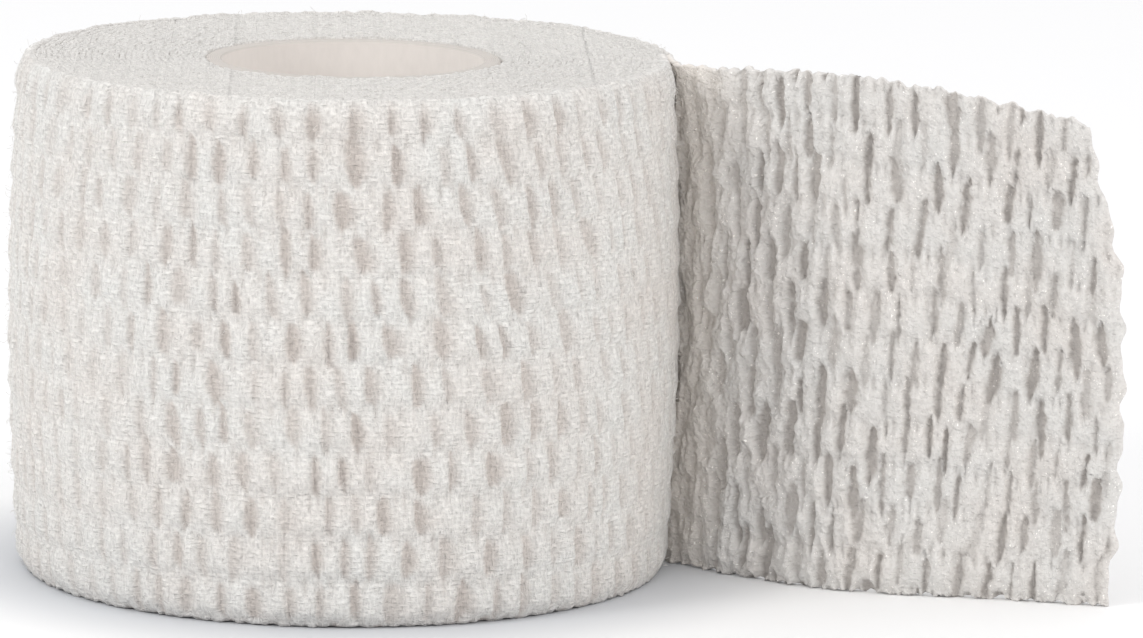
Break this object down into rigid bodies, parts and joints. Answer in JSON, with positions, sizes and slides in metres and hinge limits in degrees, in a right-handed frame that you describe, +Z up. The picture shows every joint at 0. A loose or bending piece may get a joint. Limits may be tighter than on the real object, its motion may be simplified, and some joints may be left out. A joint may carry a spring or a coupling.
{
  "type": "stretch tape roll",
  "caption": "Roll of white puckered elastic cloth tape on a card core, standing on one end, with its outer end peeled off and standing free beside it.",
  "frame": {"origin": "on the floor, under the middle of the whole outline, roll and loose end together", "axes": "+Z up along the roll's axis; +X from the roll towards the cut edge of the loose end; the picture is taken from the -Y side"},
  "size_m": [0.107, 0.0656, 0.0501],
  "materials": {
    "wound_cloth": "matte",
    "loose_cloth": "matte",
    "core_card": "matte"
  },
  "bodies": {
    "root": {"wound_roll": "wound_cloth", "loose_end": "loose_cloth", "core_tube": "core_card"}
  },
  "joints": []
}
